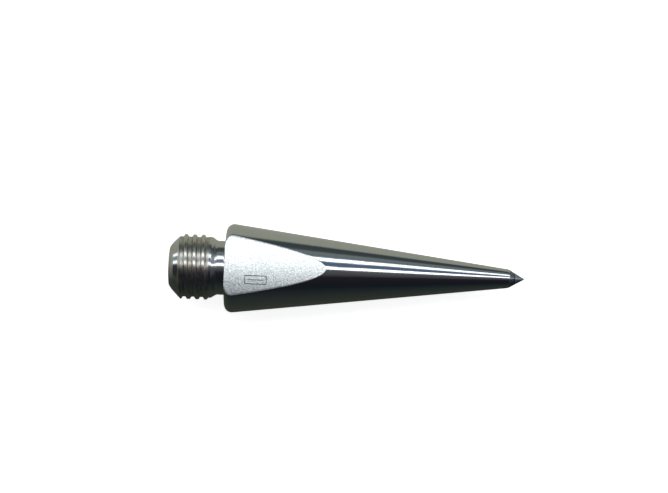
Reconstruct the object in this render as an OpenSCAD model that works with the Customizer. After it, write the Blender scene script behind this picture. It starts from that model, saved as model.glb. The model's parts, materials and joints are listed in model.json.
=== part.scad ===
// Screw-in extended point of a live center: a long hardened cone with a carbide-tipped 60 degree
// nose, two wrench flats, a flat shoulder and a threaded stub that screws into the rotating head.
// The axis lies along X with the nose towards +X, and the origin is the centre of the shoulder face.

/* [Thread] */
// Outside diameter of the thread
thread_d = 19; // [17:0.05:20]
// Distance from one turn to the next, 10 turns per inch
thread_pitch = 2.54; // [2.2:0.01:3]
// Height of the turns over their root
thread_depth = 0.72; // [0.4:0.01:0.9]
// Share of the pitch that the flat top of a turn takes
crest_share = 0.3; // [0.2:0.01:0.35]
// Angle of a flank from the plane across the axis
flank_angle = 30; // [20:1:32]
// Length of the stub, from the shoulder to the end face
stub_l = 16.4; // [15:0.1:24]
// Diameter of the stub's end face, inside its chamfer
end_d = 12; // [10:0.1:14]
// Length of that chamfer along the axis, up to the outside diameter of the thread
end_chamfer = 3.2; // [2:0.1:4]

/* [Relief behind the thread] */
// Diameter of the neck next to the shoulder
neck_d = 15.8; // [14:0.1:16.5]
// Length of the neck at its full depth
neck_l = 2.5; // [2:0.1:4]
// Diameter of the plain collar between the thread and the neck
collar_d = 17.8; // [17.6:0.1:18.2]
// Length of the plain collar
collar_l = 1.3; // [0.8:0.1:2]
// Length of the slope from the collar down to the neck
slope_l = 1.5; // [0.8:0.1:2.5]
// Radius of the fillet where the neck meets the shoulder
neck_fillet = 0.4; // [0.2:0.1:0.8]

/* [Cone] */
// Diameter of the cone where it meets the shoulder plane, before its edge is rounded
base_d = 26.5; // [22:0.1:32]
// Length of the cone from the shoulder to the nose
cone_l = 82.7; // [60:0.1:110]
// Radius of the rounded edge between the shoulder and the cone
rim_round = 2.2; // [0.3:0.1:2.5]

/* [Nose] */
// Diameter where the nose starts
nose_d = 5.5; // [4.6:0.1:8]
// Included angle of the nose
nose_angle = 60; // [50:1:75]

/* [Wrench flats] */
// Distance across the two flats
flats_w = 19.05; // [19:0.05:21]

/* [Carbide tip] */
// Diameter of the carbide pin
carbide_d = 3; // [2:0.1:3.4]
// Length of the pin's straight shank in its pocket
carbide_shank = 5; // [3:0.1:8]
// Thickness of the braze around and under the pin
braze_t = 0.15; // [0.1:0.01:0.3]
// Radius of the blunted point
point_round = 0.18; // [0.05:0.01:0.3]

/* [Center hole in the stub] */
// Diameter of the pilot drilling
pilot_d = 2.8; // [2:0.1:4]
// Length of the straight pilot wall
pilot_l = 3; // [2:0.1:5]
// Diameter of the 60 degree countersink at the end face
countersink_d = 6.2; // [5:0.1:8]

/* [Hidden] */

// Facets of a full turn on everything round
$fn = 96;

thread_r = thread_d / 2;
root_r = thread_r - thread_depth;
end_r = end_d / 2;
neck_r = neck_d / 2;
collar_r = collar_d / 2;
base_r = base_d / 2;
nose_r = nose_d / 2;
carbide_r = carbide_d / 2;
pocket_r = carbide_r + braze_t;

// Places along the axis, from the end face of the stub to the point
end_x = -stub_l;
slope_x = -neck_l;
collar_end_x = slope_x - slope_l;
thread_end_x = collar_end_x - collar_l;

// The cone narrows by this much radius for each millimetre
cone_slope = (base_r - nose_r) / cone_l;
cone_angle = atan(cone_slope);

// The nose narrows by this much radius for each millimetre
nose_slope = tan(nose_angle / 2);
sharp_x = cone_l + nose_r / nose_slope;
function nose_x(r) = sharp_x - r / nose_slope;

// The pocket's floor, and the pin's lower end on the braze
floor_x = nose_x(carbide_r) - carbide_shank - braze_t;
pin_x = floor_x + braze_t;

// Facets of one turn of the helix, how far the ridge is sunk into the core, how far it stands proud
// of the blank that trims it, and how far past the start of the collar its last turn has its middle
TURN_STEPS = 60;
SINK = 0.6;
PROUD = 0.2;
RUN_UNDER = 1.07;
// Half the angle of the countersink, and the slope of the pilot drill's point
SINK_HALF = 30;
DRILL_SLOPE = 31;
// How far cutters run past the surfaces that they cut
OVER = 1;

// Turns a profile of [radius, place along the axis] about the X axis
module turned() {
    rotate([0, 90, 0]) rotate_extrude() children();
}

// ---- Thread ----

// Half the width of the ridge at radius r
function ridge_half(r) = crest_share * thread_pitch / 2 + (thread_r - r) * tan(flank_angle);

// One section of the ridge at an angle from +Y towards +Z, its centre at x
function ridge_section(angle, x) = [
    for (corner = [[-1, root_r - SINK], [-1, thread_r + PROUD], [1, thread_r + PROUD], [1, root_r - SINK]])
        let (r = corner[1])
        [x + corner[0] * ridge_half(r), r * cos(angle), r * sin(angle)]
];

// The turns as one right-hand ridge, from inside the end chamfer to under the collar's chamfer
module thread_ridge() {
    first_x = end_x + end_chamfer / 2;
    last_x = thread_end_x + RUN_UNDER;
    turns = (last_x - first_x) / thread_pitch;
    steps = round(turns * TURN_STEPS);
    sections = [
        for (i = [0 : steps])
            let (turn = i / TURN_STEPS)
            ridge_section(turn * 360 - turns * 360, first_x + turn * thread_pitch)
    ];
    points = [for (section = sections) each section];
    sides = [
        for (i = [0 : steps - 1], k = [0 : 3])
            let (next = (k + 1) % 4)
            [i * 4 + k, i * 4 + next, (i + 1) * 4 + next, (i + 1) * 4 + k]
    ];
    caps = [[3, 2, 1, 0], [for (k = [0 : 3]) steps * 4 + k]];
    polyhedron(points = points, faces = concat(sides, caps));
}

// The outline that the blank was turned to before threading: chamfered at both ends
module thread_envelope() {
    turned() polygon([
        [0, end_x],
        [end_r, end_x],
        [thread_r, end_x + end_chamfer],
        [thread_r, thread_end_x],
        [root_r - SINK, thread_end_x + thread_depth + SINK],
        [0, thread_end_x + thread_depth + SINK],
    ]);
}

module threaded_end() {
    intersection() {
        union() {
            thread_ridge();
            turned() polygon([
                [0, end_x - OVER],
                [root_r, end_x - OVER],
                [root_r, thread_end_x + thread_depth],
                [0, thread_end_x + thread_depth],
            ]);
        }
        thread_envelope();
    }
}

// ---- Cone with its collar and neck ----

// Centre of the rim's rounding, so that its arc touches the shoulder and the cone
rim_r = base_r - rim_round * cone_slope - rim_round / cos(cone_angle);

module blank_outline() {
    polygon([
        [0, thread_end_x],
        [collar_r, thread_end_x],
        [collar_r, collar_end_x],
        [neck_r, slope_x],
        [neck_r, 0],
        [rim_r, 0],
        [rim_r + rim_round * cos(cone_angle), rim_round + rim_round * sin(cone_angle)],
        [nose_r, cone_l],
        [pocket_r, nose_x(pocket_r)],
        [0, nose_x(pocket_r)],
    ]);
    translate([rim_r, rim_round]) circle(rim_round);
    // Fillet between the neck and the shoulder
    difference() {
        translate([neck_r - OVER, -neck_fillet]) square([OVER + neck_fillet, neck_fillet + OVER]);
        translate([neck_r + neck_fillet, -neck_fillet]) circle(neck_fillet);
    }
}

// Cuts one flat: side is 1 for the upper flat and -1 for the lower
module flat_cutter(side) {
    reach = base_d;
    translate([-OVER, -reach / 2, side > 0 ? flats_w / 2 : -flats_w / 2 - reach])
        cube([cone_l, reach, reach]);
}

module center_hole() {
    sink_l = (countersink_d - pilot_d) / 2 / tan(SINK_HALF);
    point_l = pilot_d / 2 * tan(DRILL_SLOPE);
    turned() polygon([
        [0, end_x - OVER],
        [countersink_d / 2 + OVER * tan(SINK_HALF), end_x - OVER],
        [pilot_d / 2, end_x + sink_l],
        [pilot_d / 2, end_x + sink_l + pilot_l],
        [0, end_x + sink_l + pilot_l + point_l],
    ]);
}

module tip_pocket() {
    depth = nose_x(pocket_r) - floor_x;
    translate([floor_x, 0, 0]) rotate([0, 90, 0]) cylinder(r = pocket_r, h = depth + OVER);
}

module point_body() {
    color("#8f918f") difference() {
        union() {
            threaded_end();
            turned() blank_outline();
        }
        flat_cutter(1);
        flat_cutter(-1);
        center_hole();
        tip_pocket();
    }
}

// ---- Brazed tip ----

module braze_layer() {
    color("#c9b27a") turned() polygon([
        [0, floor_x],
        [pocket_r, floor_x],
        [pocket_r, nose_x(pocket_r)],
        [carbide_r, nose_x(carbide_r)],
        [carbide_r, pin_x],
        [0, pin_x],
    ]);
}

module carbide_tip() {
    // The blunted point is an arc that touches both sides of the nose angle
    arc_x = sharp_x - point_round / sin(nose_angle / 2);
    arc_end = [point_round * cos(nose_angle / 2), arc_x + point_round * sin(nose_angle / 2)];
    color("#5d6673") turned() intersection() {
        union() {
            polygon([[0, pin_x], [carbide_r, pin_x], [carbide_r, nose_x(carbide_r)], arc_end, [0, arc_x]]);
            translate([0, arc_x]) circle(point_round);
        }
        translate([0, pin_x]) square([carbide_r, sharp_x - pin_x]);
    }
}

point_body();
braze_layer();
carbide_tip();
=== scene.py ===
"""A screw-in extended point of a live center: looks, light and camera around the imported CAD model.

The steel body is shown by a finer mesh of the same shape, whose edges are broken and whose thread has
rounded turns. The carbide pin and its braze keep their CAD shapes and get their own materials.
"""

import json
import math

import bpy
import numpy as np
from mathutils import Matrix, Vector


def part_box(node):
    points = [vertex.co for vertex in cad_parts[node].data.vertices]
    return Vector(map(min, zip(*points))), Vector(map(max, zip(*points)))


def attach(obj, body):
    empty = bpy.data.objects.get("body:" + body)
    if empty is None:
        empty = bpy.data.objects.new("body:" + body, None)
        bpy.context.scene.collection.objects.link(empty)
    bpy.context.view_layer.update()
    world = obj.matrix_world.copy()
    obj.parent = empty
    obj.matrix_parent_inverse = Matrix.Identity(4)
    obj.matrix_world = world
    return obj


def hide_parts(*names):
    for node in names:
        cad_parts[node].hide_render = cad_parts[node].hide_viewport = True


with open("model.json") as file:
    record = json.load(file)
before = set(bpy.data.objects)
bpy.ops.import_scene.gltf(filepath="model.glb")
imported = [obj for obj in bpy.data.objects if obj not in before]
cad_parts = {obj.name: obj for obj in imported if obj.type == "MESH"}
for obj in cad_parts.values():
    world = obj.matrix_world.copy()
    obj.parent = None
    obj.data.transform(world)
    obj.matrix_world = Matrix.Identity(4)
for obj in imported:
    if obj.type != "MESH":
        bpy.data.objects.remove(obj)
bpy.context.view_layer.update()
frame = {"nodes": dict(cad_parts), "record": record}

SCENE = bpy.context.scene
MM = 0.001
MOUNTS = {mount["name"]: mount for mount in frame["record"]["mounts"]}

# ---- Sizes, in millimetres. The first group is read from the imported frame. ----

body_low, body_high = (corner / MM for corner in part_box("point_body"))
braze_low, braze_high = (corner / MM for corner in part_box("braze_layer"))
END_X = body_low.x
FLAT_Z = body_high.z
POCKET_R = braze_high.z
POCKET_FLOOR_X = braze_low.x
POCKET_MOUTH_X = body_high.x
THREAD_R = MOUNTS["thread"]["dims"]["r_mm"]
NOSE_R = MOUNTS["nose"]["dims"]["r_mm"]
PILOT_R = MOUNTS["center_hole"]["dims"]["r_mm"]
PILOT_L = MOUNTS["center_hole"]["dims"]["length_mm"]

# The same driving sizes as the CAD model has
THREAD_PITCH = 2.54
THREAD_DEPTH = 0.72
CREST_SHARE = 0.3
FLANK_SLOPE = math.tan(math.radians(30))
RUN_UNDER = 1.07
END_CHAMFER = 3.2
NECK_R = 7.9
NECK_L = 2.5
NECK_FILLET = 0.4
COLLAR_R = 8.9
COLLAR_L = 1.3
SLOPE_L = 1.5
BASE_R = 13.25
CONE_L = 82.7
RIM_ROUND = 2.2
COUNTERSINK_R = 3.1

# The end's chamfer, worn round at its edges: distance from the end face, and radius there
LEAD = [(0.0, 5.5), (0.12, 5.76), (0.35, 6.14), (0.64, 6.52), (1.0, 6.96), (1.43, 7.44), (3.5, 9.5)]
# The outer, roughly turned part of the chamfer ends this far from the end face
ROUGH_LEAD_L = 1.43

ROOT_R = THREAD_R - THREAD_DEPTH
COLLAR_END_X = -NECK_L - SLOPE_L
THREAD_END_X = COLLAR_END_X - COLLAR_L
CONE_SLOPE = (BASE_R - NOSE_R) / CONE_L
CONE_ANGLE = math.atan(CONE_SLOPE)
# Where the cone has narrowed to the flats' distance, so that each flat ends in a point
FLAT_END_X = (BASE_R - FLAT_Z) / CONE_SLOPE
# Radius at which the shoulder's flat face turns into the rounded rim
RIM_R = BASE_R - RIM_ROUND * CONE_SLOPE - RIM_ROUND / math.cos(CONE_ANGLE)

# How far the edges are broken, and how round the corners of the thread's turns are
EDGE = 0.08
TURN_ROUNDING = 0.09
# The edge between cone and nose is broken over this much on each side
NOSE_EDGE = 0.25
# Slopes of the center hole's countersink and of the bottom that its drill leaves
SINK_SLOPE = math.tan(math.radians(30))
DRILL_SLOPE = math.tan(math.radians(31))


# ---- The steel body's mesh ----

# Columns of the mesh round the axis: across each flat, and over each round side between them
FLAT_COLUMNS = 30
SIDE_COLUMNS = 58
# Half the angle that a flat's columns span where there is no flat, and at a flat's very point
SPREAD = math.radians(90 * FLAT_COLUMNS / (FLAT_COLUMNS + SIDE_COLUMNS))
POINT_SPREAD = math.radians(1.2)
# The length past a flat's point over which its columns spread out again
SPREAD_L = 20
# Half the gap, in radians, between the paired columns where a ring has no flat
PAIR_GAP = 0.004
# Spacing of the rings along the thread
THREAD_STEP = 0.05
# The least sine that a distance is divided by
TINY = 1e-6
# A face's middle this near to a flat's plane, in metres, is on the flat
ON_PLANE = 2e-6


def smooth_step(t):
    """Rises smoothly from 0 to 1 as t does, and is held at both outside that."""
    t = min(max(t, 0.0), 1.0)
    return t * t * (3 - 2 * t)


def flat_half_angle(x, r):
    """Half the angle that the columns of one flat span on the ring of radius r at x."""
    if x < 0:
        return SPREAD
    on_flat = math.acos(FLAT_Z / r) if r > FLAT_Z else 0.0
    past_flat = SPREAD * smooth_step((x - FLAT_END_X) / SPREAD_L)
    return max(on_flat, past_flat, POINT_SPREAD)


def column_angles(half, edge_angle):
    """Angles from +Y towards +Z of every column, with two columns close together at each edge of a flat."""
    across_flat = np.linspace(-1, 1, FLAT_COLUMNS) * (half - edge_angle)
    over_side = np.linspace(half + edge_angle, math.pi - half - edge_angle, SIDE_COLUMNS)
    quarter = math.pi / 2
    half_turn = np.concatenate([quarter + across_flat, quarter + over_side])
    return np.concatenate([half_turn, half_turn + math.pi])


class Rings:
    """Collects the rings of a turned shape, from one closed end to the other."""

    def __init__(self):
        self.x, self.r, self.angle, self.zone = [], [], [], []
        # Where the axis goes through the closed ends
        self.first_tip = self.last_tip = 0.0

    def add(self, x, r, zone, half=None, flat=None):
        """One ring at x of radius r, where zone names the surface between it and the next ring.

        flat is the distance from the axis at which the ring is cut off flat on two sides.
        """
        r_mid = float(np.mean(r))
        half = flat_half_angle(x, r_mid) if half is None else half
        edge = min(EDGE / r_mid, half / 4) if flat else PAIR_GAP
        angle = column_angles(half, edge)
        radius = np.broadcast_to(np.asarray(r, float), angle.shape).copy()
        if flat:
            cut = flat / np.maximum(np.abs(np.sin(angle)), TINY)
            radius = np.minimum(radius, cut)
        self.x.append(x)
        self.r.append(radius)
        self.angle.append(angle)
        self.zone.append(zone)

    def line(self, start, end, steps, zone):
        """Rings along a straight stretch of the outline, from start and up to, but not at, end."""
        for i in range(steps):
            t = i / steps
            self.add(start[0] + (end[0] - start[0]) * t, start[1] + (end[1] - start[1]) * t, zone)

    def mesh(self, name, zones):
        """The closed mesh, with a point on the axis at each end, and one material index for each zone."""
        x = np.array(self.x)[:, None] * np.ones_like(self.r)
        r, angle = np.array(self.r), np.array(self.angle)
        points = np.stack([x, r * np.cos(angle), r * np.sin(angle)], axis=-1)
        rings, columns = r.shape
        tips = [[self.first_tip, 0, 0], [self.last_tip, 0, 0]]
        vertices = np.concatenate([points.reshape(-1, 3), tips]) * MM
        j = np.arange(columns)
        k = (j + 1) % columns
        faces, materials = [], []
        for i in range(rings - 1):
            a, b = i * columns, (i + 1) * columns
            faces += np.stack([a + j, a + k, b + k, b + j], axis=-1).tolist()
            materials += [zones.index(self.zone[i])] * columns
        tip = rings * columns
        last = (rings - 1) * columns
        faces += [[int(k[c]), int(c), tip] for c in j]
        faces += [[last + int(c), last + int(k[c]), tip + 1] for c in j]
        materials += [zones.index(self.zone[0])] * columns + [zones.index(self.zone[-1])] * columns
        mesh = bpy.data.meshes.new(name)
        mesh.from_pydata(vertices.tolist(), [], faces)
        mesh.polygons.foreach_set("material_index", materials)
        mesh.polygons.foreach_set("use_smooth", [True] * len(faces))
        mesh.update()
        shade_by_area(mesh)
        return mesh


def shade_by_area(mesh):
    """Smooth normals weighted by face area, so that flats and cones stay true up to their broken edges."""
    count = len(mesh.vertices)
    total = np.zeros((count, 3))
    for polygon in mesh.polygons:
        total[list(polygon.vertices)] += np.array(polygon.normal) * polygon.area
    total /= np.linalg.norm(total, axis=1)[:, None]
    mesh.normals_split_custom_set_from_vertices(total.tolist())


def thread_radius(x, angle):
    """Radius of the threaded stretch at x for an array of angles: rounded turns on a root."""
    first_x = END_X + END_CHAMFER / 2
    last_x = THREAD_END_X + RUN_UNDER
    # Distance along the axis from the nearest turn's middle
    along = (x - last_x) / THREAD_PITCH - angle / math.tau
    off = np.abs(along - np.round(along)) * THREAD_PITCH
    height = (CREST_SHARE * THREAD_PITCH / 2 - off) / FLANK_SLOPE + THREAD_DEPTH
    # The turn's flank meets the flat crest and the root in small rounded corners
    under = THREAD_DEPTH - height
    capped = THREAD_DEPTH - (under + np.sqrt(under ** 2 + TURN_ROUNDING ** 2)) / 2
    height = (capped + np.sqrt(capped ** 2 + TURN_ROUNDING ** 2)) / 2
    started = np.clip((x - first_x) / THREAD_PITCH + 1, 0, 1)
    return ROOT_R + height * started


def add_center_hole(rings):
    """The 60 degree center hole in the end of the stub, from its bottom to its mouth."""
    mouth_x = END_X + (COUNTERSINK_R - PILOT_R) / SINK_SLOPE
    floor_x = mouth_x + PILOT_L
    rings.first_tip = floor_x + PILOT_R * DRILL_SLOPE
    rings.add(floor_x + EDGE / 2, PILOT_R - EDGE, "turned")
    rings.line((floor_x, PILOT_R), (mouth_x + EDGE, PILOT_R), 4, "turned")
    rings.line((mouth_x, PILOT_R + EDGE / 2), (END_X + EDGE, COUNTERSINK_R - EDGE / 2), 6, "turned")


def add_end_face(rings):
    """The flat end of the stub, from the center hole's mouth to the chamfer."""
    rings.add(END_X, COUNTERSINK_R + EDGE, "turned")
    rings.line((END_X, COUNTERSINK_R + 2 * EDGE), (END_X, LEAD[0][1]), 6, "turned")


def add_thread(rings):
    """The chamfered, threaded stretch as closely set rings, and its run-out against the collar."""
    angle = column_angles(SPREAD, PAIR_GAP)
    for i in range(round((THREAD_END_X + THREAD_DEPTH - END_X) / THREAD_STEP)):
        x = END_X + (i + 0.5) * THREAD_STEP
        chamfer = float(np.interp(x - END_X, *zip(*LEAD)))
        run_out = THREAD_R - (x - THREAD_END_X)
        radius = np.minimum(thread_radius(x, angle), min(chamfer, run_out))
        if x > THREAD_END_X:
            radius = np.maximum(radius, COLLAR_R)
        if x - END_X < ROUGH_LEAD_L:
            zone = "end_chamfer"
        else:
            zone = "lead" if chamfer < ROOT_R else "thread"
        rings.add(x, radius, zone, half=SPREAD)


def add_relief(rings):
    """The plain collar, the slope, the neck and the fillet against the shoulder."""
    collar_start = THREAD_END_X + THREAD_DEPTH
    rings.add(collar_start, COLLAR_R, "neck")
    rings.add(COLLAR_END_X - EDGE, COLLAR_R, "neck")
    rings.line((COLLAR_END_X + EDGE, COLLAR_R - EDGE), (-NECK_L - EDGE, NECK_R + EDGE), 3, "neck")
    rings.line((-NECK_L + EDGE, NECK_R), (-NECK_FILLET, NECK_R), 5, "neck")
    steps = 6
    for i in range(steps + 1):
        turn = math.pi / 2 * i / steps
        x = -NECK_FILLET * (1 - math.sin(turn))
        rings.add(x, NECK_R + NECK_FILLET * (1 - math.cos(turn)), "shoulder" if i == steps else "neck")


def add_shoulder(rings):
    """The shoulder face, which the two flats cut off on two sides."""
    inner_r = NECK_R + NECK_FILLET
    outer_half = math.acos(FLAT_Z / RIM_R)
    outer_angle = column_angles(outer_half, EDGE / RIM_R)
    cut = (FLAT_Z - EDGE) / np.maximum(np.abs(np.sin(outer_angle)), TINY)
    outer = np.minimum(RIM_R, cut)
    steps = 10
    for i in range(1, steps + 1):
        t = i / steps
        half = SPREAD + (outer_half - SPREAD) * t
        rings.add(0.0, inner_r + (outer - inner_r) * t, "shoulder", half=half)


def add_rim(rings):
    """The rounded edge of the shoulder, up to where it touches the cone."""
    steps = 8
    for i in range(1, steps + 1):
        turn = (math.pi / 2 + CONE_ANGLE) * i / steps
        x = RIM_ROUND * (1 - math.cos(turn))
        rings.add(x, RIM_R + RIM_ROUND * math.sin(turn), "cone", flat=FLAT_Z)


def add_cone(rings):
    """The cone with its flats, closely ringed where the flats narrow to their points."""
    start_x = RIM_ROUND * (1 + math.sin(CONE_ANGLE))
    # Evenly ringed stretches: where each starts, where it ends, and its number of rings
    stretches = [
        (start_x + 0.8, FLAT_END_X - 4, 30),
        (FLAT_END_X - 3.8, FLAT_END_X + 0.4, 28),
        (FLAT_END_X + 1.2, CONE_L - NOSE_EDGE, 34),
    ]
    for start, end, count in stretches:
        for x in np.linspace(start, end, count):
            rings.add(x, BASE_R - CONE_SLOPE * x, "cone", flat=FLAT_Z)


def add_nose(rings):
    """The 60 degree nose up to the pocket, and the blind pocket behind the braze."""
    slope = (NOSE_R - POCKET_R) / (POCKET_MOUTH_X - CONE_L)
    on_nose = [CONE_L + NOSE_EDGE, *np.linspace(CONE_L + 2 * NOSE_EDGE, POCKET_MOUTH_X, 6)]
    for x in on_nose:
        rings.add(x, NOSE_R - (x - CONE_L) * slope, "nose")
    behind_mouth = POCKET_MOUTH_X - 0.4
    for x in np.linspace(behind_mouth, POCKET_FLOOR_X, 5):
        rings.add(x, POCKET_R, "nose")
    rings.last_tip = POCKET_FLOOR_X


def steel_body():
    """The finer mesh that shows the point body, from the end of the stub to the nose's pocket."""
    rings = Rings()
    add_center_hole(rings)
    add_end_face(rings)
    add_thread(rings)
    add_relief(rings)
    add_shoulder(rings)
    add_rim(rings)
    add_cone(rings)
    add_nose(rings)
    zones = list(FINISHES)
    mesh = rings.mesh("steel_body", zones)
    cone, flat = zones.index("cone"), zones.index("flat")
    for polygon in mesh.polygons:
        off_plane = abs(abs(polygon.center.z) - FLAT_Z * MM)
        if polygon.material_index == cone and off_plane < ON_PLANE:
            polygon.material_index = flat
    for name, build in FINISHES.values():
        mesh.materials.append(metal(name, build))
    piece = bpy.data.objects.new("steel_body", mesh)
    SCENE.collection.objects.link(piece)
    return piece


# ---- Materials ----


class Nodes:
    """A short way to write a node tree: each call makes one node and returns its output."""

    def __init__(self, tree):
        self.tree = tree

    def make(self, kind, *values, settings=None, output=0, **named):
        """One node. values go to its first sockets in order, and named ones to the sockets they name."""
        node = self.tree.nodes.new(kind)
        for name, value in (settings or {}).items():
            setattr(node, name, value)
        for socket, value in zip(node.inputs, values):
            self.put(socket, value)
        for name, value in named.items():
            self.put(node.inputs[name], value)
        return None if output is None else node.outputs[output]

    def put(self, socket, value):
        """Links another node's output to a socket, or sets the socket to a constant."""
        if isinstance(value, bpy.types.NodeSocket):
            self.tree.links.new(value, socket)
        else:
            socket.default_value = value

    def math(self, operation, a, b=0.0):
        return self.make("ShaderNodeMath", a, b, settings={"operation": operation})

    def place(self):
        """The place on the object in its own frame, in metres."""
        return self.make("ShaderNodeTexCoord", output="Object")

    def stretched(self, x, y, z):
        """The place in millimetres, stretched by a factor along each axis."""
        return self.make("ShaderNodeMapping", Vector=self.place(), Scale=(x / MM, y / MM, z / MM))

    def axes(self):
        """The place's x, y and z, in metres."""
        return self.make("ShaderNodeSeparateXYZ", Vector=self.place()).node.outputs

    def radius(self):
        """Distance from the X axis, in millimetres."""
        x, y, z = self.axes()
        square = self.math("ADD", self.math("MULTIPLY", y, y), self.math("MULTIPLY", z, z))
        return self.math("DIVIDE", self.math("SQRT", square), MM)

    def noise(self, vector, scale=1.0, detail=3.0, roughness=0.5):
        sizes = {"Scale": scale, "Detail": detail, "Roughness": roughness}
        return self.make("ShaderNodeTexNoise", Vector=vector, **sizes)

    def span(self, value, low, high, to_low=0.0, to_high=1.0):
        """Maps value from low..high to to_low..to_high, held at the ends."""
        return self.make("ShaderNodeMapRange", value, low, high, to_low, to_high)

    def spread(self, noise, to_low=0.0, to_high=1.0):
        """Maps the range that a noise mostly keeps within to to_low..to_high."""
        return self.span(noise, 0.3, 0.7, to_low, to_high)

    def mix(self, factor, a, b):
        """Mixes two colours."""
        node = self.tree.nodes.new("ShaderNodeMix")
        node.data_type = "RGBA"
        # The node has sockets of the same names for numbers, so those for colours go by their places
        for index, value in ((0, factor), (6, a), (7, b)):
            self.put(node.inputs[index], (*value, 1) if isinstance(value, tuple) else value)
        return node.outputs[2]

    def bump(self, height, depth_mm, normal=None):
        """The normal of a relief of the given depth, laid over another normal if one is given."""
        out = self.make("ShaderNodeBump", Height=height, Strength=1.0, Distance=depth_mm * MM)
        if normal is not None:
            self.put(out.node.inputs["Normal"], normal)
        return out


def principled(name):
    """A new material, with the short way to write its nodes and its shader's sockets."""
    material = bpy.data.materials.new(name)
    material.use_nodes = True
    tree = material.node_tree
    return material, Nodes(tree), tree.nodes["Principled BSDF"].inputs


def metal(name, build):
    """A metal material, for which build(nodes) makes the colour, the roughness and the normal."""
    material, nodes, sockets = principled(name)
    sockets["Metallic"].default_value = 1.0
    colour, roughness, normal = build(nodes)
    nodes.put(sockets["Base Color"], colour)
    nodes.put(sockets["Roughness"], roughness)
    nodes.put(sockets["Normal"], normal)
    return material


# The bright tone of turned and ground steel
BRIGHT = (0.64, 0.64, 0.63)


def ring_lines(nodes, per_mm, round_share=0.02):
    """Noise drawn out round the axis: the fine lines that turning and grinding leave."""
    across = per_mm * round_share
    return nodes.noise(nodes.stretched(per_mm, across, across), detail=4.0)


def even_noise(nodes, per_mm, detail=3.0, roughness=0.5):
    """Noise that is equally fine in all directions."""
    return nodes.noise(nodes.stretched(per_mm, per_mm, per_mm), detail=detail, roughness=roughness)


def ground_cone(nodes):
    """Ground and polished steel: fine lines round the cone, some coarser ones, faint clouding."""
    fine = ring_lines(nodes, 9)
    coarse = ring_lines(nodes, 1.6, 0.05)
    clouds = nodes.noise(nodes.stretched(0.12, 0.3, 0.3), detail=2.0)
    colour = nodes.mix(nodes.spread(coarse), (0.61, 0.62, 0.62), BRIGHT)
    cloudy = nodes.span(clouds, 0.35, 0.7, 0, 0.02)
    roughness = nodes.math("ADD", nodes.spread(fine, 0.05, 0.09), cloudy)
    normal = nodes.bump(fine, 0.0004, nodes.bump(coarse, 0.001))
    return colour, roughness, normal


def satin_flat(nodes):
    """Blasted steel: an even fine grain, faint patches, and a small plain etched mark."""
    grain = even_noise(nodes, 3.2, detail=4.0, roughness=0.65)
    patches = even_noise(nodes, 0.35)
    etched = etched_mark(nodes)
    pits, tops, etched_tone = (0.48, 0.515, 0.525), (0.84, 0.88, 0.885), (0.10, 0.10, 0.11)
    blasted = nodes.mix(nodes.span(grain, 0.36, 0.64), pits, tops)
    colour = nodes.mix(etched, blasted, etched_tone)
    rougher = nodes.math("MULTIPLY", etched, 0.15)
    roughness = nodes.math("ADD", nodes.spread(patches, 0.2, 0.24), rougher)
    return colour, roughness, nodes.bump(grain, 0.006)


# The etched mark's middle on the upper flat, half its size, half its bar's, and its lines' width
MARK_X, MARK_Y = 9.2, -3.9
MARK_HALF_W, MARK_HALF_H = 3.2, 1.3
MARK_LINE = 0.24
BAR_HALF_W = 0.7 * MARK_HALF_W


def etched_mark(nodes):
    """A plain ruled frame with a bar in it on the upper flat, 1 where it is etched."""
    x, y, z = nodes.axes()
    across = nodes.math("ABSOLUTE", nodes.math("SUBTRACT", nodes.math("DIVIDE", x, MM), MARK_X))
    up = nodes.math("ABSOLUTE", nodes.math("SUBTRACT", nodes.math("DIVIDE", y, MM), MARK_Y))

    def block(half_w, half_h):
        in_width = nodes.math("LESS_THAN", across, half_w)
        in_height = nodes.math("LESS_THAN", up, half_h)
        return nodes.math("MULTIPLY", in_width, in_height)

    outside = block(MARK_HALF_W, MARK_HALF_H)
    inside = block(MARK_HALF_W - MARK_LINE, MARK_HALF_H - MARK_LINE)
    bar = block(BAR_HALF_W, MARK_LINE / 2)
    mark = nodes.math("ADD", nodes.math("SUBTRACT", outside, inside), bar)
    return nodes.math("MULTIPLY", mark, nodes.math("GREATER_THAN", z, 0.0))


def cut_thread(nodes):
    """The thread: bright crests, roots darkened in patches with brownish painted shade, and fine cutting
    lines.
    """
    lines = ring_lines(nodes, 7)
    stain = nodes.noise(nodes.stretched(0.9, 0.5, 0.5), detail=4.0)
    # 0 in the roots, where the shade is painted, and 1 on the crests
    height = nodes.span(nodes.radius(), ROOT_R + 0.1, THREAD_R - 0.08)
    # The first colour is painted shade in the roots, which the stain noise mixes in patches with the
    # second; the third is the crests' own colour.
    shaded_root, unshaded_root, crest = (0.40, 0.37, 0.31), (0.64, 0.62, 0.56), (0.63, 0.61, 0.57)
    root = nodes.mix(nodes.span(stain, 0.35, 0.65), shaded_root, unshaded_root)
    colour = nodes.mix(height, root, crest)
    smoother = nodes.span(height, 0, 1, 0.26, 0.19)
    roughness = nodes.math("ADD", smoother, nodes.spread(lines, 0, 0.08))
    return colour, roughness, nodes.bump(stain, 0.02, nodes.bump(lines, 0.005))


def turned_neck(nodes):
    """Fine-turned steel, almost as bright as the cone: neck, collar, and the chamfer's inner part."""
    lines = ring_lines(nodes, 5)
    colour = nodes.mix(nodes.spread(lines), (0.56, 0.57, 0.57), BRIGHT)
    return colour, nodes.spread(lines, 0.1, 0.2), nodes.bump(lines, 0.002)


def turned_face(nodes):
    """A turned end or shoulder: rings of fine tool marks about the axis and light stains."""
    outwards = nodes.make("ShaderNodeCombineXYZ", X=nodes.radius())
    marks = nodes.noise(outwards, scale=9.0)
    stain = even_noise(nodes, 0.6, detail=4.0)
    colour = nodes.mix(nodes.span(stain, 0.35, 0.65), (0.50, 0.49, 0.44), (0.60, 0.59, 0.56))
    return colour, nodes.spread(marks, 0.24, 0.36), nodes.bump(marks, 0.004)


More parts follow.
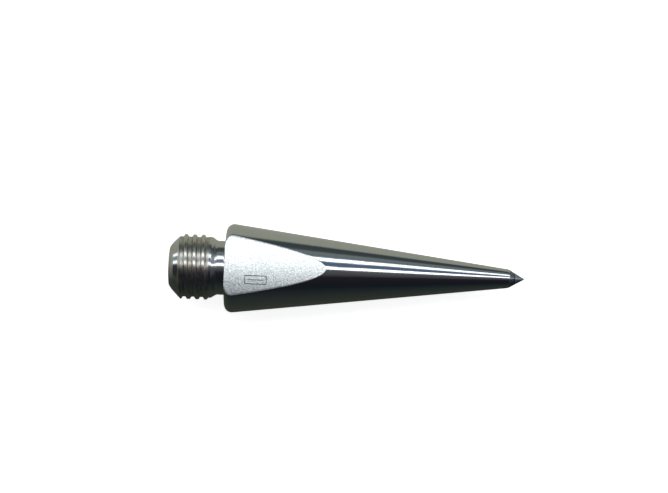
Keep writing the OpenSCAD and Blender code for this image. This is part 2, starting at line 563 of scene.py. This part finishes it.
def ground_nose(nodes):
    """The nose: ground a little coarser than the cone, its colour darkened and blued as painted shade."""
    lines = ring_lines(nodes, 12, 0.05)
    # Much darker and bluer than steel: painted shade for the nose's dark look.
    colour = nodes.mix(nodes.spread(lines), (0.21, 0.235, 0.27), (0.27, 0.30, 0.34))
    return colour, nodes.spread(lines, 0.2, 0.3), nodes.bump(lines, 0.002)


def silver_solder(nodes):
    """Yellowish silver solder with a fine grain."""
    grain = even_noise(nodes, 6)
    colour = nodes.mix(nodes.spread(grain), (0.60, 0.55, 0.42), (0.74, 0.69, 0.56))
    return colour, nodes.spread(grain, 0.25, 0.4), nodes.bump(grain, 0.006)


def ground_carbide(nodes):
    """Tungsten carbide: darker and bluer than steel, with a very fine grain and grinding lines."""
    grain = even_noise(nodes, 14, detail=4.0)
    lines = ring_lines(nodes, 16, 0.04)
    colour = nodes.mix(nodes.spread(grain), (0.36, 0.40, 0.45), (0.46, 0.50, 0.55))
    return colour, nodes.spread(lines, 0.26, 0.38), nodes.bump(lines, 0.002)


# The steel body's surfaces, in the order of its material slots: material name and what builds it
FINISHES = {
    "turned": ("turned_end", turned_face),
    "end_chamfer": ("turned_chamfer", turned_face),
    "lead": ("turned_lead", turned_neck),
    "thread": ("cut_thread", cut_thread),
    "neck": ("turned_neck", turned_neck),
    "shoulder": ("turned_shoulder", turned_face),
    "cone": ("ground_cone", ground_cone),
    "flat": ("satin_flat", satin_flat),
    "nose": ("ground_nose", ground_nose),
}


# ---- Light, floor and camera. Sizes and places here are in metres, and angles in degrees. ----

# The place that the camera looks at. The lights and screens are set out from its X.
CENTRE = Vector((0.0314, 0.0075, 0.0))


def direction(angle):
    """Unit vector in the YZ plane at an angle from overhead towards +Y."""
    turn = math.radians(angle)
    return Vector((0, math.sin(turn), math.cos(turn)))


def soft_box(name, length, width, radiance, place, rotation):
    """An area light with its length along its own X, which the camera itself doesn't see."""
    light = bpy.data.lights.new(name, "AREA")
    light.shape = "RECTANGLE"
    light.size, light.size_y = length, width
    light.energy = radiance * math.pi * length * width
    lamp = bpy.data.objects.new(name, light)
    lamp.location = place
    lamp.rotation_euler = rotation
    lamp.visible_camera = False
    SCENE.collection.objects.link(lamp)


# Soft boxes parallel to the part's axis. Each covers a span of angles from overhead towards +Y:
# where the span starts and ends, the distance from the axis, and the radiance.
LONG_BOX_L = 2.4
LONG_BOXES = {
    "far_box": (32.5, 45.0, 0.45, 2.0),
    "near_box": (3.9, 13.8, 0.088, 2.3),
}


def long_boxes():
    """The two soft boxes that draw the bright bands along the cone."""
    for name, (start, end, distance, radiance) in LONG_BOXES.items():
        middle = (start + end) / 2
        width = 2 * distance * math.tan(math.radians(end - start) / 2)
        place = Vector((CENTRE.x, 0, 0)) + direction(middle) * distance
        soft_box(name, LONG_BOX_L, width, radiance, place, (-math.radians(middle), 0, 0))


# Tall soft boxes beyond the threaded end, which its chamfer mirrors: the middle along Y, the width,
# and the height of the lower edge
END_BOX_X = CENTRE.x - 1.15
END_BOX_TOP = 0.6
END_BOX_RADIANCE = 2.0
END_BOXES = {
    "far_end_box": (0.443, 0.12, -0.27),
    "near_end_box": (0.150, 0.11, -0.12),
}


def end_boxes():
    """The two soft boxes that light the end's chamfer in strips."""
    for name, (y, width, low) in END_BOXES.items():
        place = (END_BOX_X, y, (low + END_BOX_TOP) / 2)
        soft_box(name, END_BOX_TOP - low, width, END_BOX_RADIANCE, place, (0, -math.pi / 2, 0))


def glow_mesh(name, vertices, colours, faces):
    """A screen that only reflections see, shining with the colour given at each vertex."""
    mesh = bpy.data.meshes.new(name)
    mesh.from_pydata(vertices, [], faces)
    paint = mesh.color_attributes.new("shade", "FLOAT_COLOR", "POINT")
    paint.data.foreach_set("color", np.array([(*colour, 1.0) for colour in colours]).ravel())
    material = bpy.data.materials.new(name)
    material.use_nodes = True
    tree = material.node_tree
    tree.nodes.clear()
    nodes = Nodes(tree)
    shade = nodes.make("ShaderNodeVertexColor", settings={"layer_name": "shade"})
    glow = nodes.make("ShaderNodeEmission", Color=shade, Strength=1.0)
    nodes.make("ShaderNodeOutputMaterial", glow, output=None)
    mesh.materials.append(material)
    screen = bpy.data.objects.new(name, mesh)
    SCENE.collection.objects.link(screen)
    screen.visible_camera = screen.visible_diffuse = screen.visible_shadow = False


# What the steel mirrors round its axis: angles from overhead towards +Y, and the radiance at each
ROOM = [
    (-186, (0.050, 0.054, 0.048)),
    (-130, (0.040, 0.046, 0.038)),
    (-100, (0.028, 0.038, 0.034)),
    (-76, (0.018, 0.025, 0.029)),
    (-62, (0.011, 0.015, 0.022)),
    (-48, (0.012, 0.014, 0.020)),
    (-24, (0.019, 0.018, 0.024)),
    (-14, (0.080, 0.076, 0.085)),
    (0, (0.125, 0.125, 0.140)),
    (3, (0.250, 0.280, 0.310)),
    (14, (0.250, 0.280, 0.310)),
    (17, (0.115, 0.180, 0.290)),
    (27, (0.105, 0.160, 0.260)),
    (32, (0.250, 0.320, 0.400)),
    (47, (0.260, 0.330, 0.390)),
    (51, (0.150, 0.210, 0.250)),
    (60, (0.190, 0.235, 0.250)),
    (64, (0.210, 0.230, 0.230)),
    (68, (0.090, 0.105, 0.110)),
    (75, (0.055, 0.070, 0.078)),
    (88, (0.060, 0.075, 0.080)),
    (94, (0.330, 0.350, 0.300)),
    (98, (0.370, 0.390, 0.330)),
    (174, (0.370, 0.390, 0.330)),
]
# The room's distance from the axis, half its length, and the angle between its columns
ROOM_R = 0.6
ROOM_HALF_L = 1.2
ROOM_STEP = 2.0


def room():
    """A long screen curved round the object's axis."""
    angles, shine = zip(*ROOM)
    turns = np.arange(angles[0], angles[-1] + ROOM_STEP / 2, ROOM_STEP)
    shades = np.stack([np.interp(turns, angles, channel) for channel in zip(*shine)], axis=-1)
    vertices, colours = [], []
    for turn, shade in zip(turns, shades):
        place = direction(turn) * ROOM_R
        for side in (-1, 1):
            vertices.append((CENTRE.x + side * ROOM_HALF_L, place.y, place.z))
            colours.append(tuple(shade))
    faces = [(2 * i, 2 * i + 1, 2 * i + 3, 2 * i + 2) for i in range(len(turns) - 1)]
    glow_mesh("room", vertices, colours, faces)


# The walls beyond the two ends of the part. Each stands at a place along X from the middle. Its rows
# run from -Y to +Y at a height where Y is 0, and droop with a fall of WALL_DROOP times Y squared.
WALL_Y = (-0.6, 0.06, 0.14, 0.46, 0.54, 0.6)
WALL_DROOP = 0.83
DIM, DARK, HAZE = (0.02, 0.025, 0.03), (0.012, 0.015, 0.018), (0.24, 0.34, 0.38)
OLIVE, SLATE, NIGHT = (0.32, 0.33, 0.29), (0.25, 0.30, 0.36), (0.10, 0.13, 0.15)
END_WALLS = {
    "thread_wall": (-1.2, {
        -0.90: (OLIVE, OLIVE, OLIVE, OLIVE, OLIVE, OLIVE),
        -0.16: (OLIVE, OLIVE, OLIVE, OLIVE, OLIVE, OLIVE),
        -0.12: (DARK, DIM, HAZE, HAZE, NIGHT, OLIVE),
        0.60: (DARK, DIM, HAZE, HAZE, NIGHT, OLIVE),
    }),
    "nose_wall": (0.55, {
        -0.60: (DARK, DIM, DIM, NIGHT, NIGHT, NIGHT),
        0.00: (DARK, DIM, DIM, NIGHT, NIGHT, NIGHT),
        0.10: (DARK, NIGHT, SLATE, SLATE, SLATE, SLATE),
        0.80: (DARK, NIGHT, SLATE, SLATE, SLATE, SLATE),
    }),
}


def end_walls():
    """A screen across each end of the room."""
    across = len(WALL_Y)
    for name, (x, rows) in END_WALLS.items():
        vertices = [(CENTRE.x + x, y, z - WALL_DROOP * y * y) for z in rows for y in WALL_Y]
        colours = [colour for row in rows.values() for colour in row]
        starts = [row * across + i for row in range(len(rows) - 1) for i in range(across - 1)]
        faces = [(i, i + 1, i + 1 + across, i + across) for i in starts]
        glow_mesh(name, vertices, colours, faces)


FLOOR_HALF_W = 12.0
FLOOR_WHITE = (0.9, 0.9, 0.9, 1)
# The floor shines this much near the part, where its soft shadow falls, and fully farther away
FLOOR_GLOW = 0.89
NEAR_PART, AWAY_FROM_PART = 0.06, 0.4


def floor_material():
    """White without gloss, which shines by itself so that it stays white in every view."""
    material, nodes, sockets = principled("pale_floor")
    sockets["Base Color"].default_value = FLOOR_WHITE
    sockets["Roughness"].default_value = 0.9
    sockets["Specular IOR Level"].default_value = 0.0
    sockets["Emission Color"].default_value = (1, 1, 1, 1)
    x, y, _ = nodes.axes()
    off = nodes.math("ABSOLUTE", nodes.math("SUBTRACT", x, CENTRE.x))
    away = nodes.math("MAXIMUM", off, nodes.math("ABSOLUTE", y))
    glow = nodes.span(away, NEAR_PART, AWAY_FROM_PART, FLOOR_GLOW, 1.0)
    nodes.put(sockets["Emission Strength"], glow)
    return material


def floor():
    """A wide white floor under the lower flat. Reflections don't see it: the room takes its place."""
    z = body_low.z * MM
    corners = [(x * FLOOR_HALF_W, y * FLOOR_HALF_W, z) for x, y in ((-1, -1), (1, -1), (1, 1), (-1, 1))]
    mesh = bpy.data.meshes.new("floor")
    mesh.from_pydata(corners, [], [(0, 1, 2, 3)])
    mesh.materials.append(floor_material())
    plane = bpy.data.objects.new("floor", mesh)
    SCENE.collection.objects.link(plane)
    plane.visible_glossy = False


ROOM_LIGHT = (0.03, 0.034, 0.038, 1)
WHITE = (1, 1, 1, 1)


def surroundings():
    """White to the camera, and a dim cool room to everything else."""
    world = bpy.data.worlds.new("studio")
    world.use_nodes = True
    SCENE.world = world
    world.node_tree.nodes.clear()
    nodes = Nodes(world.node_tree)
    dim = nodes.make("ShaderNodeBackground", Color=ROOM_LIGHT, Strength=1.0)
    white = nodes.make("ShaderNodeBackground", Color=WHITE, Strength=1.0)
    seen = nodes.make("ShaderNodeLightPath", output="Is Camera Ray")
    both = nodes.make("ShaderNodeMixShader", seen, dim, white)
    nodes.make("ShaderNodeOutputWorld", both, output=None)


# How far the camera leans over from straight above, and how far it is turned, so that the part's
# axis falls to the right
CAMERA_LEAN = math.radians(-5.3)
CAMERA_ROLL = math.radians(2.2)
CAMERA_DISTANCE = 0.610
# The lens and the sensor are in millimetres
CAMERA_LENS, SENSOR_WIDTH = 112.3, 36.0
# The camera sees as far as this
CAMERA_REACH = 50.0


def camera():
    """The photograph's angle: almost straight above the part."""
    data = bpy.data.cameras.new("camera")
    data.sensor_width = SENSOR_WIDTH
    data.lens = CAMERA_LENS
    data.clip_end = CAMERA_REACH
    eye = bpy.data.objects.new("camera", data)
    back = Vector((0, math.sin(CAMERA_LEAN), math.cos(CAMERA_LEAN)))
    lean = Matrix.Rotation(-CAMERA_LEAN, 4, "X")
    roll = Matrix.Rotation(CAMERA_ROLL, 4, "Z")
    eye.matrix_world = Matrix.Translation(CENTRE + back * CAMERA_DISTANCE) @ lean @ roll
    SCENE.collection.objects.link(eye)
    SCENE.camera = eye


def studio():
    """Everything round the object: the light, the floor, the screens and the camera."""
    SCENE.view_settings.view_transform = "Standard"
    surroundings()
    floor()
    long_boxes()
    end_boxes()
    room()
    end_walls()
    camera()


# ---- The object ----

body = steel_body()
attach(body, "root")
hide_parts("point_body")

for node, finish in (("braze_layer", silver_solder), ("carbide_tip", ground_carbide)):
    mesh = frame["nodes"][node].data
    mesh.materials.clear()
    mesh.materials.append(metal(node, finish))

studio()
